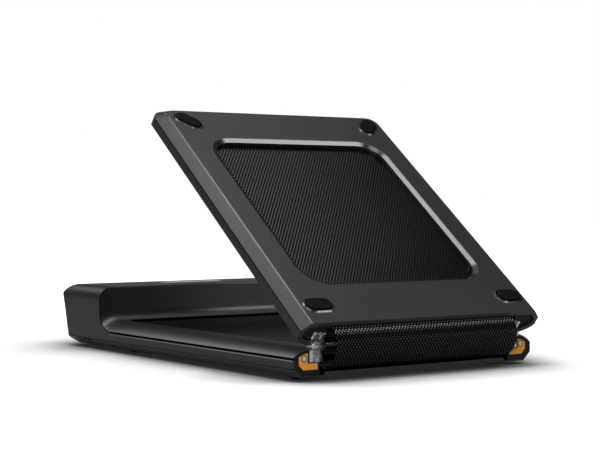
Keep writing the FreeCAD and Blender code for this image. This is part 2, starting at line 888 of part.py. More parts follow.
def controller_heatsink():
    low = z_floor + standoff_height + board_sheet
    x0 = controller_x - heatsink_length / 2
    u0 = controller_near_u + (controller_depth - heatsink_depth) / 2
    pieces = [block(x0, x0 + heatsink_length, u0, u0 + heatsink_depth, low, low + heatsink_base)]
    pitch = (heatsink_length - fin_thick) / (fin_count - 1)
    fin_top = low + heatsink_base + heatsink_fin
    for i in range(fin_count):
        x = x0 + i * pitch
        pieces.append(block(x, x + fin_thick, u0, u0 + heatsink_depth, low, fin_top))
    return joined(pieces)


def power_inlet():
    """Panel socket with a flange outside the face, a cavity and three short contacts."""
    flange = entry_block(inlet_x, inlet_width, inlet_height, 0, inlet_flange, inlet_corner)
    body = entry_block(inlet_x, inlet_width - 2 * inlet_body_rim, inlet_height - 2 * inlet_body_rim,
                       -inlet_body_depth, 0, inlet_corner - 1)
    cavity = entry_block(inlet_x, inlet_cavity_width, inlet_cavity_height,
                         inlet_flange - inlet_cavity_depth, inlet_flange, inlet_corner - 1)
    socket = joined([flange, body]).cut(cavity)
    floor = inlet_flange - inlet_cavity_depth
    contacts = []
    lift = contact_rise / 2
    for x, z in ((-contact_pitch, -lift), (0, lift), (contact_pitch, -lift)):
        blade = block(inlet_x + x - contact_width / 2, inlet_x + x + contact_width / 2,
                      floor, floor + contact_length, z - contact_height / 2, z + contact_height / 2)
        contacts.append(blade)
    return entry_frame(joined([socket] + contacts))


def switch_housing():
    """Frame of the rocker switch, with two small pivot holes."""
    frame = entry_block(switch_x, switch_width + 2 * switch_rim, switch_height + 2 * switch_rim,
                        0, switch_wall, switch_wall)
    body = entry_block(switch_x, switch_width, switch_height, -switch_depth, 0, switch_corner)
    well = entry_block(switch_x, switch_width - 2 * switch_wall, switch_height - 2 * switch_wall,
                       -switch_depth + switch_wall, switch_wall, switch_corner / 2)
    pivot = rod_x(switch_x - switch_width / 2, switch_x + switch_width / 2, -rocker_pivot_depth, 0,
                  rocker_pin_radius + shaft_fit)
    return entry_frame(joined([frame, body]).cut(well).cut(pivot))


def switch_rocker():
    """Rocker with a hollow-backed curved face, tipped on its pivot pins."""
    inner = switch_width - 2 * switch_wall - 2 * rocker_gap
    reach = switch_height / 2 - switch_wall - rocker_end_gap
    top = switch_wall + rocker_proud
    face = outline(across, [(-rocker_pivot_depth - rocker_keel, 0, rocker_pin_radius),
                            (-rocker_skirt, reach, rocker_edge), (top, reach, rocker_edge),
                            (top - rocker_dish, 0, rocker_radius), (top, -reach, rocker_edge),
                            (-rocker_skirt, -reach, rocker_edge)])
    rocker = slab_x(face, switch_x - inner / 2, switch_x + inner / 2)
    pins = rod_x(switch_x - switch_width / 2 + rocker_pin_gap, switch_x + switch_width / 2 - rocker_pin_gap,
                 -rocker_pivot_depth, 0, rocker_pin_radius)
    tipped = joined([rocker, pins])
    tipped.rotate(V(switch_x, -rocker_pivot_depth, 0), V(1, 0, 0), -rocker_tip)
    return entry_frame(tipped)


def transport_wheel(side):
    """Solid wheel with rounded tread, running on its axle."""
    x0 = side * wheel_x - wheel_width / 2
    wheel = rod_x(x0, x0 + wheel_width, wheel_u, wheel_z, wheel_radius)
    rims = [edge for edge in wheel.Edges if edge.Length > wheel_radius * 6 and hasattr(edge.Curve, "Radius")]
    wheel = wheel.makeFillet(wheel_round, rims)
    return wheel.cut(rod_x(x0, x0 + wheel_width, wheel_u, wheel_z, axle_radius + shaft_fit))


def axle_rod(radius):
    span = wheel_width / 2 + well_gap + well_wall
    return rod_x(wheel_x - span, wheel_x + span, wheel_u, wheel_z, radius)


def wheel_axles():
    return pair(axle_rod(axle_radius))


def wheel_axle_holes():
    return pair(axle_rod(axle_radius + press_fit))


# Rear half mouldings

def window_face(grow):
    return rounded_rectangle(level, -window_half_width - grow, window_half_width + grow,
                             window_near_u - grow, window_far_u + grow, window_radius + grow)


def lofted(levels):
    """Solid through level faces, each lifted to its own height."""
    wires = []
    for face, z in levels:
        wire = face.OuterWire.copy()
        wire.translate(V(0, 0, z))
        wires.append(wire)
    return Part.makeLoft(wires, True, True)


def rear_form(inset):
    """Rear half as a tray drawn in by inset: a flat, a chamfer round its sides and far end, upright walls."""
    flat_inset = chamfer_width + inset * tan(chamfer_angle / 2)
    low = plan(rear_length, flat_corner_radius + chamfer_width, flat_inset)
    high = plan(rear_length, rear_corner_radius, inset)
    high_z = z_chamfer + inset * tan((pi / 2 - chamfer_angle) / 2)
    return joined([lofted([(low, z_under + inset), (high, high_z)]), slab_z(high, high_z, z_top)])


def rear_hollow(inner):
    """Room inside the rear half: the inner form, narrowed at the fold by a broad rim round the caps."""
    deep = inner.common(block(-half, half, rim_end_u, rear_length, 0, z_top))
    return deep.fuse(slab_u(section(rear_rim), -1, rim_end_u))


def rear_tray():
    """Wall of the rear half's lower moulding, with softened chamfer edges."""
    form = rear_form(0)
    soft = [edge for edge in form.Edges if edge.BoundBox.ZLength < 1e-4
            and edge.BoundBox.ZMax < z_part and edge.BoundBox.YMax > -rear_length + 1]
    tray = form.makeFillet(underside_round, soft).cut(rear_hollow(rear_form(wall)))
    return tray.common(block(-half, half, fold_gap, rear_length, 0, z_part - seam))


def rear_underside_cover():
    """Chamfered plate with foot pockets and a belt window whose bevelled rim runs down to the belt."""
    throat_z, deep = z_under + window_dip, belt_low - window_belt_gap
    slope = window_bevel / window_dip
    back = wall * hypot(slope, 1)
    root_z = throat_z + (back - window_wall) / slope
    root = window_face(window_wall - window_bevel)
    collar = joined([lofted([(window_face(back - slope * wall / 2), z_under + wall / 2), (root, root_z)]),
                     slab_z(root, root_z, deep)])
    mouth = lofted([(window_face(slope), z_under - 1), (window_face(-window_bevel), throat_z)])
    cover = with_foot_pockets(rear_tray().fuse(collar), rear_foot_far_u)
    cover = cover.cut(mouth).cut(slab_z(window_face(-window_bevel), throat_z, deep + 1))
    return cover.makeFillet(window_edge_round, window_edges(cover)).removeSplitter()


def window_edges(cover):
    """Edges of the window's mouth in the underside plane."""
    found = []
    for edge in cover.Edges:
        box = edge.BoundBox
        flat = abs(box.ZMin - z_under) < 1e-4 and abs(box.ZMax - z_under) < 1e-4
        within = (abs(edge.CenterOfMass.x) < window_half_width + 1
                  and window_near_u - 1 < edge.CenterOfMass.y < window_far_u + 1)
        if flat and within:
            found.append(edge)
    return found


def rear_rail():
    """Right-hand side moulding: side band, crest and round shoulder beside the belt."""
    outer = slab_u(section(0), fold_gap, rear_length)
    outer = outer.common(slab_z(plan(rear_length, rear_corner_radius, 0), 0, z_top))
    inner = slab_u(section(wall), 0, rear_length)
    inner = inner.common(slab_z(plan(rear_length, rear_corner_radius, wall), 0, z_top))
    far = rear_length - tail_wall - seam
    rail = outer.cut(rear_hollow(inner)).common(block(surround_inner_x, half, 0, far, z_part, z_top))
    return rail.cut(barrel_notch()).removeSplitter()


def rear_tail_cover():
    """Cross piece behind the rear roller, with rounded corners and the two adjuster holes."""
    start = rear_length - tail_wall
    face = outline(across, [(start, z_part, 0), (rear_length, z_part, 0), (rear_length, z_top, tail_round),
                            (start, z_top, tail_edge)])
    tail = slab_x(face, -half, half)
    tail = tail.common(slab_u(section(0), 0, rear_length))
    tail = tail.common(slab_z(plan(rear_length, rear_corner_radius, 0), 0, z_top))
    for side in (-1, 1):
        tail = tail.cut(rod_u(side * bolt_x, 0, rear_length, z_roller, bolt_radius + bolt_hole_gap))
        tail = tail.cut(rod_u(side * bolt_x, rear_length - bolt_head_length, rear_length, z_roller,
                              bolt_head_radius + bolt_hole_gap))
    return tail.removeSplitter()


def tension_bolt(side):
    """Socket-head bolt from the tail to the roller shaft."""
    x = side * bolt_x
    under_head = rear_length - bolt_head_length + seam
    tip = rear_roller_u + shaft_radius + seam
    shank = rod_u(x, tip, under_head, z_roller, bolt_radius)
    head = rod_u(x, under_head, rear_length - seam, z_roller, bolt_head_radius)
    corners = [(x + hex_radius * cos(i * pi / 3), z_roller + hex_radius * sin(i * pi / 3)) for i in range(6)]
    socket = slab_u(sharp(along, corners), rear_length - seam - hex_depth, rear_length)
    return joined([shank, head]).cut(socket)


# Belt at the fold

def fold_point(radius, turn):
    """Point at radius from the hinge axis, turned from straight down towards the rear."""
    return across(-radius * sin(turn), z_hinge - radius * cos(turn))


def fold_band(near, far):
    """Strip of belt between two arcs, each given by its radii at its ends and at its middle."""
    turns = (0, half_fold, 2 * half_fold)
    outer = [fold_point(radius, turn) for radius, turn in zip(far, turns)]
    inner = [fold_point(radius, turn) for radius, turn in zip(near, turns)]
    edges = [Part.Arc(*outer).toShape(), Part.LineSegment(outer[2], inner[2]).toShape(),
             Part.Arc(*reversed(inner)).toShape(), Part.LineSegment(inner[0], outer[0]).toShape()]
    return slab_x(Part.Face(Part.Wire(edges)), -belt_half, belt_half)


def belt_fold_wrap():
    outer = (wrap_end_radius, wrap_mid_radius, wrap_end_radius)
    return fold_band([radius - belt_thick for radius in outer], outer)


def belt_fold_crease():
    small = z_hinge - belt_top
    return fold_band([small] * 3, [small + belt_thick] * 3)


# All nodes, each half drawn unfolded with u running away from the fold

def front_nodes():
    leaf = hinge_leaf(0, press_fit)
    cap = end_cap(front_cap_recess, wall, screw_shank_radius + shaft_fit)
    plate = marker_plate()
    return {
        "front_base_pan": front_base_pan(),
        "hood_shell": hood_shell(),
        "deck_surround": deck_surround(),
        "front_chassis": chassis(front_frame_length),
        "front_deck_board": deck_board(drive_roller_u - roller_radius - board_roller_gap),
        "front_deck_cushions": deck_cushions(front_frame_length),
        "front_guide_bar": guide_bar(),
        "belt_front_run": belt_run(drive_roller_u),
        "belt_fold_wrap": belt_fold_wrap(),
        "belt_fold_crease": belt_fold_crease(),
        "drive_roller": drive_roller(),
        "drive_roller_shaft": roller_shaft(drive_roller_u),
        "drive_roller_bearings": roller_bearings(drive_roller_u),
        "drive_belt": drive_belt(),
        "motor_body": motor_body(),
        "motor_bracket": motor_bracket(),
        "motor_pulley": motor_pulley(),
        "controller_board": controller_board(),
        "controller_heatsink": controller_heatsink(),
        "display_lens": display_lens(),
        "display_board": display_board(),
        "power_inlet": power_inlet(),
        "switch_housing": switch_housing(),
        "switch_rocker": switch_rocker(),
        "transport_wheel_left": transport_wheel(-1),
        "transport_wheel_right": transport_wheel(1),
        "wheel_axles": wheel_axles(),
        "front_feet": feet(front_foot_far_u),
        "front_hinge_leaf_left": mirror_x(leaf),
        "front_hinge_leaf_right": leaf,
        "hinge_pins": hinge_pins(),
        "front_end_cap_left": mirror_x(cap),
        "front_end_cap_right": cap,
        "marker_plate_left": mirror_x(plate),
        "marker_plate_right": plate,
        "end_cap_screws": end_cap_screws(),
    }


def rear_nodes():
    leaf = hinge_leaf(1, shaft_fit)
    cap = end_cap(rear_cap_recess, rear_rim, 0)
    rail = rear_rail()
    return {
        "rear_underside_cover": rear_underside_cover(),
        "rear_rail_left": mirror_x(rail),
        "rear_rail_right": rail,
        "rear_tail_cover": rear_tail_cover(),
        "rear_chassis": chassis(rear_frame_length),
        "rear_deck_board": deck_board(rear_roller_u - roller_radius - board_roller_gap),
        "rear_deck_cushions": deck_cushions(rear_frame_length),
        "rear_guide_bar": guide_bar(),
        "belt_rear_run": belt_run(rear_roller_u),
        "rear_roller": roller_tube(rear_roller_u),
        "rear_roller_shaft": roller_shaft(rear_roller_u),
        "rear_roller_bearings": roller_bearings(rear_roller_u),
        "tension_bolt_left": tension_bolt(-1),
        "tension_bolt_right": tension_bolt(1),
        "rear_feet": feet(rear_foot_far_u),
        "rear_hinge_leaf_left": mirror_x(leaf),
        "rear_hinge_leaf_right": leaf,
        "rear_end_cap_left": mirror_x(cap),
        "rear_end_cap_right": cap,
    }


def folded(shape):
    """Rear half: behind the fold line, turned up and over by the rest angle."""
    shape = shape.mirror(V(0, 0, 0), V(0, 1, 0))
    shape.rotate(V(0, 0, z_hinge), V(-1, 0, 0), rest_fold)
    return shape


def main():
    os.makedirs("parts", exist_ok=True)
    nodes = front_nodes()
    nodes.update({name: folded(shape) for name, shape in rear_nodes().items()})
    for name, shape in nodes.items():
        placed = shape.copy()
        placed.translate(V(0, hinge_y, 0))
        placed.exportStep("parts/" + name + ".step")
        print(name, len(placed.Solids), round(placed.Volume / 1000, 2), placed.isValid())


main()
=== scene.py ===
import json
import math
import bpy
import numpy as np
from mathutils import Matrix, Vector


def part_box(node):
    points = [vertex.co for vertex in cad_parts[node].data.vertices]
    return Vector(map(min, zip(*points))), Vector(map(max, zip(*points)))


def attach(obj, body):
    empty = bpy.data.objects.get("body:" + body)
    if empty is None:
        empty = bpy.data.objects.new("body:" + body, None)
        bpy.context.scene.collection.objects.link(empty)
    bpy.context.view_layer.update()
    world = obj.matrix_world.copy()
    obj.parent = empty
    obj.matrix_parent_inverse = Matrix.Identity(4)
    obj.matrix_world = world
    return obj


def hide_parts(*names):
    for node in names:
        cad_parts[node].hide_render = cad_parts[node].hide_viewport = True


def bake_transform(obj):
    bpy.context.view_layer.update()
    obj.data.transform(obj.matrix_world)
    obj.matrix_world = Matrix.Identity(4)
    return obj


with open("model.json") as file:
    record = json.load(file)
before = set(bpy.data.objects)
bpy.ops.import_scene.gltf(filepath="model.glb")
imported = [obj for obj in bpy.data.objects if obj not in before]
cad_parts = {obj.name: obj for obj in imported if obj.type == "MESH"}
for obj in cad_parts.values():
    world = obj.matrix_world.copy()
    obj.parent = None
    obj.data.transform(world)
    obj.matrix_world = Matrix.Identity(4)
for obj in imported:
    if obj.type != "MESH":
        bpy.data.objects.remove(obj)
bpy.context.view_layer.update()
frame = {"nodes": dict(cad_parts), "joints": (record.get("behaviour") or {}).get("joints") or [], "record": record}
nodes = frame["nodes"]
joints = {joint["name"]: joint for joint in frame["joints"]}
print("frame loaded with", len(nodes), "nodes")


# Camera, lamps, world and floor
view = {"place": (-1.6755, -2.4242, 0.2923), "pitch": -0.81, "heading": -35.19, "lens": 90.83,
        "sensor": 36.0}
lamps = {  # turn counts from +X round to +Y, rise is above the floor, both in degrees
    "leftOverhead": {"turn": 180, "rise": 68, "reach": 3.2, "size": (1.5, 1.5), "watts": 41},
    "rightOverhead": {"turn": 20, "rise": 66, "reach": 3.2, "size": (1.5, 1.5), "watts": 5.4},
    "top": {"turn": 300, "rise": 85, "reach": 3.2, "size": (0.8, 0.8), "watts": 18},
    "backLeft": {"turn": 112, "rise": 40, "reach": 3.2, "size": (1.5, 1.5), "watts": 21},
    "frontRight": {"turn": 318, "rise": 43, "reach": 3.2, "size": (0.9, 0.9), "watts": 25},
    "frontHigh": {"turn": 278, "rise": 61, "reach": 3.2, "size": (0.9, 0.9), "watts": 12},
    "frontLow": {"turn": 225, "rise": 12, "reach": 3.2, "size": (1.5, 1.5), "watts": 44},
}
lampAim = (0, 0, 0.2)
surround = {"horizon": 0.02, "ceiling": 0.065, "ambient": 0.01, "rise": (0.1, 0.55)}
# strips of pale backdrop that only reflections see: low and high count up from the horizon, side is how
# squarely a ray faces the strip
backdrops = [{"turn": 305, "level": 1.3, "low": (0.02, 0.09), "high": (0.15, 0.25), "side": (0.5, 0.9)},
             {"turn": 64, "level": 0.4, "low": (-0.01, 0), "high": (0.05, 0.3), "side": (0.5, 0.9)},
             {"turn": 125, "level": 0.4, "low": (0, 0.02), "high": (0.05, 0.12), "side": (0.7, 0.95)}]
ground = {"size": 60.0, "albedo": 0.44, "shown": 1.2, "near": 0.75, "far": 1.4, "lift": 0.02,
          "contact": 0.20, "deepen": 2.2, "samples": 8}


class Wire:  # one output socket, so that shader maths reads as Python
    def __init__(self, nodeSet, socket):
        self.nodeSet = nodeSet
        self.socket = socket

    def calc(self, operation, first, second):
        return self.nodeSet.node("Math", {"operation": operation}, {0: first, 1: second})

    def __add__(self, other):
        return self.calc("ADD", self, other)

    def __radd__(self, other):
        return self.calc("ADD", other, self)

    def __sub__(self, other):
        return self.calc("SUBTRACT", self, other)

    def __rsub__(self, other):
        return self.calc("SUBTRACT", other, self)

    def __mul__(self, other):
        return self.calc("MULTIPLY", self, other)

    def __truediv__(self, other):
        return self.calc("DIVIDE", self, other)

    def least(self, other):
        return self.calc("MINIMUM", self, other)

    def most(self, other):
        return self.calc("MAXIMUM", self, other)


class NodeSet:  # the nodes of one material or of the world
    def __init__(self, tree):
        self.tree = tree
        tree.nodes.clear()

    # any node: its settings go first, then the values or links of its sockets
    def node(self, kind, settings=None, sockets=None, out=0):
        made = self.tree.nodes.new("ShaderNode" + kind)
        for key, value in (settings or {}).items():
            setattr(made, key, value)
        for key, value in (sockets or {}).items():
            self.feed(made.inputs[key], value)
        return Wire(self, made.outputs[out]) if made.outputs else None

    def feed(self, socket, value):
        if isinstance(value, Wire):
            self.tree.links.new(value.socket, socket)
        elif socket.type == "RGBA" and len(value) == 3:
            socket.default_value = tuple(value) + (1,)
        else:
            socket.default_value = value

    def mixColour(self, share, first, second):
        made = self.node("Mix", {"data_type": "RGBA"}, {"Factor": share}, out=2)
        self.feed(made.socket.node.inputs[6], first)
        self.feed(made.socket.node.inputs[7], second)
        return made

    def step(self, value, low, high):  # 0 below low, 1 above high, smooth between
        settings = {"interpolation_type": "SMOOTHSTEP"}
        return self.node("MapRange", settings, {"Value": value, "From Min": low, "From Max": high})

    def part(self, vector, axis):
        return self.node("SeparateXYZ", sockets={0: vector}, out=axis)

    def dot(self, first, second):
        return self.node("VectorMath", {"operation": "DOT_PRODUCT"}, {0: first, 1: second}, out="Value")

    def size(self, value):  # the value without its sign
        return self.node("Math", {"operation": "ABSOLUTE"}, {0: value})


def makeCamera():
    camera = bpy.data.objects.new("camera", bpy.data.cameras.new("camera"))
    camera.data.lens = view["lens"]
    camera.data.sensor_width = view["sensor"]
    camera.location = view["place"]
    camera.rotation_euler = (math.radians(90 + view["pitch"]), 0, math.radians(view["heading"]))
    bpy.context.scene.collection.objects.link(camera)
    bpy.context.scene.camera = camera


def makeLamps():
    for name, lamp in lamps.items():
        light = bpy.data.lights.new(name, "AREA")
        light.shape = "RECTANGLE"
        light.size, light.size_y = lamp["size"]
        light.energy = lamp["watts"]
        turn, rise = math.radians(lamp["turn"]), math.radians(lamp["rise"])
        out = Vector((math.cos(rise) * math.cos(turn), math.cos(rise) * math.sin(turn), math.sin(rise)))
        made = bpy.data.objects.new(name, light)
        made.location = Vector(lampAim) + lamp["reach"] * out
        made.rotation_euler = out.to_track_quat("Z", "Y").to_euler()
        bpy.context.scene.collection.objects.link(made)


# white behind the object; reflections see a dim room with strips of pale backdrop along the horizon
def makeWorld():
    world = bpy.data.worlds.new("studio")
    bpy.context.scene.world = world
    world.use_nodes = True
    nodeSet = NodeSet(world.node_tree)
    direction = nodeSet.node("TexCoord", out="Generated")
    height = nodeSet.part(direction, "Z")
    rise = nodeSet.step(height, *surround["rise"])
    gloss = surround["horizon"] + rise * (surround["ceiling"] - surround["horizon"])
    for backdrop in backdrops:
        turn = math.radians(backdrop["turn"])
        facing = nodeSet.dot(direction, (math.cos(turn), math.sin(turn), 0))
        strip = nodeSet.step(facing, *backdrop["side"]) * nodeSet.step(height, *backdrop["low"])
        strip = strip * (1 - nodeSet.step(height, *backdrop["high"]))
        gloss = gloss + strip * backdrop["level"]
    toCamera = nodeSet.node("LightPath", out="Is Camera Ray")
    shiny = nodeSet.node("LightPath", out="Is Glossy Ray")
    clear = nodeSet.node("LightPath", out="Is Transmission Ray")
    seen = shiny.most(clear)
    strength = surround["ambient"] + seen * (gloss - surround["ambient"])
    strength = strength + toCamera * (1 - strength)
    sky = nodeSet.node("Background", sockets={"Color": (1, 1, 1), "Strength": strength})
    nodeSet.node("OutputWorld", sockets={"Surface": sky})


# pale diffuse floor, shown bright so that only the deep shadow stays; occlusion darkens its colour as a painted
# contact shadow, deepest where the object is near; far off it runs out into the backdrop
def makeFloor():
    reach = ground["size"] / 2
    corners = np.array([(-reach, -reach, 0), (reach, -reach, 0), (reach, reach, 0), (-reach, reach, 0)])
    mesh = bpy.data.meshes.new("floor")
    mesh.from_pydata(corners.tolist(), [], [(0, 1, 2, 3)])
    floor = bpy.data.objects.new("floor", mesh)
    bpy.context.scene.collection.objects.link(floor)
    material = bpy.data.materials.new("floorWhite")
    material.use_nodes = True
    nodeSet = NodeSet(material.node_tree)
    place = nodeSet.node("TexCoord", out="Object")
    distance = nodeSet.node("VectorMath", {"operation": "LENGTH"}, {0: place}, out="Value")
    away = nodeSet.step(distance, ground["near"], ground["far"])
    toCamera = nodeSet.node("LightPath", out="Is Camera Ray")
    glow = toCamera * (ground["lift"] + away * (1 - ground["lift"]))
    # painted contact shadow: the floor colour seen by the camera is darkened by occlusion
    sockets = {"Distance": ground["contact"]}
    clear = nodeSet.node("AmbientOcclusion", {"samples": ground["samples"]}, sockets, out="AO")
    shown = clear.calc("POWER", clear, ground["deepen"]) * ground["shown"]
    shade = ground["albedo"] + toCamera * (shown - ground["albedo"])
    matt = nodeSet.node("BsdfDiffuse", sockets={"Color": shade})
    lift = nodeSet.node("Emission", sockets={"Color": (1, 1, 1), "Strength": glow})
    both = nodeSet.node("AddShader", sockets={0: matt, 1: lift})
    nodeSet.node("OutputMaterial", sockets={"Surface": both})
    mesh.materials.append(material)


makeCamera()
makeLamps()
makeWorld()
makeFloor()
bpy.context.scene.view_settings.view_transform = "Standard"
print("camera, lamps, world and floor made")


# Places on the two halves: x across, u away from the fold line, z up from the floor when unfolded
hinge = np.array(joints["fold"]["pos_m"])
restFold = math.radians(-joints["fold"]["range_deg"][0])
footLift = 0.006  # how far the feet hold the underside plates off the floor when unfolded
undersideDrop = hinge[2] - footLift  # from the hinge axis to the underside plates


# Finishes; in their values a noise is given as scale and detail, a band as where a mask begins and ends
def startFinish(name, constants=None):
    material = bpy.data.materials.new(name)
    material.use_nodes = True
    nodeSet = NodeSet(material.node_tree)
    surface = nodeSet.node("BsdfPrincipled", sockets=constants)
    nodeSet.node("OutputMaterial", sockets={"Surface": surface})
    nodeSet.target = nodeSet.tree.nodes[-1].inputs["Surface"]
    nodeSet.material = material
    nodeSet.surface = surface
    nodeSet.shader = surface.socket.node
    nodeSet.place = nodeSet.node("TexCoord", out="Object")
    return nodeSet


def noise(finish, scale, detail, place=None):
    sockets = {"Vector": place or finish.place, "Scale": scale, "Detail": detail}
    return finish.node("TexNoise", sockets=sockets)


def bump(finish, height, distance, under=None):
    sockets = {"Height": height, "Distance": distance}
    if under:
        sockets["Normal"] = under
    finish.feed(finish.shader.inputs["Normal"], finish.node("Bump", sockets=sockets))


def feedShader(finish, colour, roughness):
    finish.feed(finish.shader.inputs["Base Color"], colour)
    finish.feed(finish.shader.inputs["Roughness"], roughness)


def scaled(colour, share):
    return tuple(share * level for level in colour)


# moulded plastic: fine leathery grain, faint cloudy gloss and a slow drift of tone
plastic = {"cloud": (6.0, 3.0), "fine": (900.0, 2.0), "band": (0.3, 0.7), "darker": 0.86,
           "cloudGloss": 0.06, "fineGloss": 0.05, "grain": 0.000015}


# polish gives the mask of the polished rims, seams the bump of the shadow gaps and their painted shade
def mouldedPlastic(name, colour, roughness, specular=0.5, polish=None, seams=None):
    finish = startFinish(name, {"Specular IOR Level": specular})
    cloud = noise(finish, *plastic["cloud"])
    fine = noise(finish, *plastic["fine"])
    darker = scaled(colour, plastic["darker"])
    tone = finish.mixColour(finish.step(cloud, *plastic["band"]), darker, colour)
    dull = roughness + (cloud - 0.5) * plastic["cloudGloss"] + (fine - 0.5) * plastic["fineGloss"]
    if polish:
        dull = dull - polish(finish) * (roughness - rim["roughness"])
    feedShader(finish, tone, dull)
    bump(finish, fine, plastic["grain"], seams(finish) if seams else None)
    return finish.material


# shadow gaps between the mouldings, as heights above the floor when unfolded: a broad one under the deck's
# shoulders, with a rounded edge below it, and narrow ones where the lower mouldings begin; their shade is painted
# dark is the colour of the painted shade in the gaps
gap = {"crest": (0.0363, 0.0402), "crestEnd": (0.630, 0.640), "part": (0.0206, 0.0219),
       "rear": (0.0222, 0.0234), "soft": 0.0003, "side": (0.2612, 0.2616), "round": 0.0026,
       "dark": 0.0008, "divide": 0.0001}
# slope that softens the beads round the feet, and the rounded edge where the chamfers begin
soften = {"bead": 0.60, "edge": (0.2458, 0.2474), "edgeFall": 0.00048}


# height above the floor when unfolded, a mask of the rear half, and the way from the fold to the hood
def heightOf(finish):
    y = finish.part(finish.place, "Y") - hinge[1]
    z = finish.part(finish.place, "Z") - hinge[2]
    halfway = (math.pi - restFold) / 2
    isRear = finish.step(z * math.cos(halfway) - y * math.sin(halfway), -gap["divide"], gap["divide"])
    rearHeight = hinge[2] + y * math.sin(restFold) + z * math.cos(restFold)
    frontHeight = hinge[2] + z
    return frontHeight + isRear * (rearHeight - frontHeight), isRear, y


def shadowGaps(finish):
    height, isRear, y = heightOf(finish)
    isFront = 1 - isRear
    outer = finish.size(finish.part(finish.place, "X"))
    side = finish.step(outer, *gap["side"])

    def above(level):
        return finish.step(height, level - gap["soft"], level + gap["soft"])

    def between(low, high):
        return above(low) * (1 - above(high))

    opened = 1 - finish.step(y, *gap["crestEnd"])
    crest = between(*gap["crest"]) * isFront * opened
    mask = (crest + between(*gap["part"]) * isFront + between(*gap["rear"]) * isRear).least(1) * side
    # painted shade: a near-black matt shader mixed over the plastic along the gap bands
    dark = finish.node("BsdfDiffuse", sockets={"Color": (gap["dark"],) * 3})
    finish.feed(finish.target, finish.node("MixShader", sockets={0: mask, 1: finish.surface, 2: dark}))
    crestLow = gap["crest"][0]
    crestMiddle, rearMiddle = [sum(gap[name]) / 2 for name in ("crest", "rear")]
    crestFall = finish.step(height, crestLow - gap["round"], crestLow) * (1 - above(crestMiddle))
    crestFall = crestFall * isFront * opened * side * gap["round"]
    beadFall = (footLift - height).most(0) * soften["bead"]
    edgeFall = finish.step(outer, *soften["edge"]) * (1 - above(rearMiddle)) * isRear * soften["edgeFall"]
    return finish.node("Bump", sockets={"Height": 0 - crestFall - beadFall - edgeFall, "Distance": 1.0})


# polished parts of the underside, found by how far they lie off its plane: the bevel of the belt window,
# the beads round the feet and the edge where the chamfers begin
rim = {"roughness": 0.17, "off": (0.0003, 0.0010), "deep": (0.012, 0.013), "edgeOff": (0.0008, 0.0014),
       "fade": 0.0005, "side": 0.2465, "near": 0.018, "far": 0.598}


def polishedRims(finish):
    along = (0, -math.cos(restFold), math.sin(restFold))
    outward = (0, -math.sin(restFold), -math.cos(restFold))
    fromHinge = finish.node("VectorMath", {"operation": "SUBTRACT"}, {0: finish.place, 1: tuple(hinge)})
    reach = finish.dot(fromHinge, along)
    off = finish.size(finish.dot(fromHinge, outward) - undersideDrop)
    side = finish.size(finish.part(finish.place, "X"))
    within = (rim["side"] - side).least(reach - rim["near"]).least(rim["far"] - reach)
    sunk = finish.step(off, *rim["off"]) * (1 - finish.step(off, *rim["deep"]))
    edge = finish.step(side, *soften["edge"]) * (1 - finish.step(off, *rim["edgeOff"]))
    return (sunk * finish.step(within, 0, rim["fade"])).most(edge)


# rubber: matt, with a fine pebbled skin and a little dust
rubber = {"pebble": (1400.0, 2.0), "dust": (25.0, 4.0), "band": (0.45, 0.8), "lighter": 1.5, "pale": 0.001,
          "gloss": 0.15, "grain": 0.00008, "specular": 0.06}


def mattRubber(name, colour, roughness):
    finish = startFinish(name, {"Specular IOR Level": rubber["specular"]})
    pebble = noise(finish, *rubber["pebble"])
    dust = noise(finish, *rubber["dust"])
    dusty = tuple(level * rubber["lighter"] + rubber["pale"] for level in colour)
    tone = finish.mixColour(finish.step(dust, *rubber["band"]), colour, dusty)
    feedShader(finish, tone, roughness + (pebble - 0.5) * rubber["gloss"])
    bump(finish, pebble, rubber["grain"])
    return finish.material


# metal: cloudy tone, fine scratches drawn out along one axis
metal = {"lines": (500.0, 3.0), "cloud": (60.0, 4.0), "band": (0.35, 0.7), "darker": 0.72,
         "lineGloss": 0.25, "cloudGloss": 0.1}


def wornMetal(name, colour, roughness, stretch=(1, 1, 1), grain=0.00004):
    finish = startFinish(name, {"Metallic": 1.0})
    drawn = finish.node("Mapping", sockets={"Vector": finish.place, "Scale": stretch})
    lines = noise(finish, *metal["lines"], drawn)
    cloud = noise(finish, *metal["cloud"])
    darker = scaled(colour, metal["darker"])
    tone = finish.mixColour(finish.step(cloud, *metal["band"]), darker, colour)
    dull = roughness + (lines - 0.5) * metal["lineGloss"] + (cloud - 0.5) * metal["cloudGloss"]
    feedShader(finish, tone, dull)
    bump(finish, lines, grain)
    return finish.material


# powder coat: orange-peel skin over black
powder = {"peel": (420.0, 1.0), "cloud": (12.0, 3.0), "darker": 0.8, "roughness": 0.42, "gloss": 0.12,
          "depth": 0.00015}


def powderCoat(name, colour):
    finish = startFinish(name)
    peel = noise(finish, *powder["peel"])
    cloud = noise(finish, *powder["cloud"])
    tone = finish.mixColour(cloud, scaled(colour, powder["darker"]), colour)
    feedShader(finish, tone, powder["roughness"] + cloud * powder["gloss"])
    bump(finish, peel, powder["depth"])
    return finish.material


# fibreboard: fibres that barely show through a black film
board = {"stretch": (40, 400, 400), "strands": (3.0, 6.0), "film": (0.006, 0.006, 0.006),
         "fibre": (0.016, 0.014, 0.012), "roughness": 0.6, "gloss": 0.2, "depth": 0.0001}


def pressedBoard(name):
    finish = startFinish(name)
    drawn = finish.node("Mapping", sockets={"Vector": finish.place, "Scale": board["stretch"]})
    strands = noise(finish, *board["strands"], drawn)
    tone = finish.mixColour(strands, board["film"], board["fibre"])
    feedShader(finish, tone, board["roughness"] + strands * board["gloss"])
    bump(finish, strands, board["depth"])
    return finish.material


# circuit board: green mask with copper lines under it
circuit = {"cells": 60.0, "line": 0.03, "offset": 0.5, "mask": (0.006, 0.07, 0.025),
           "copper": (0.03, 0.20, 0.07), "roughness": 0.35, "gloss": 0.1, "depth": 0.00005,
           "coat": 0.5, "coatRoughness": 0.15}


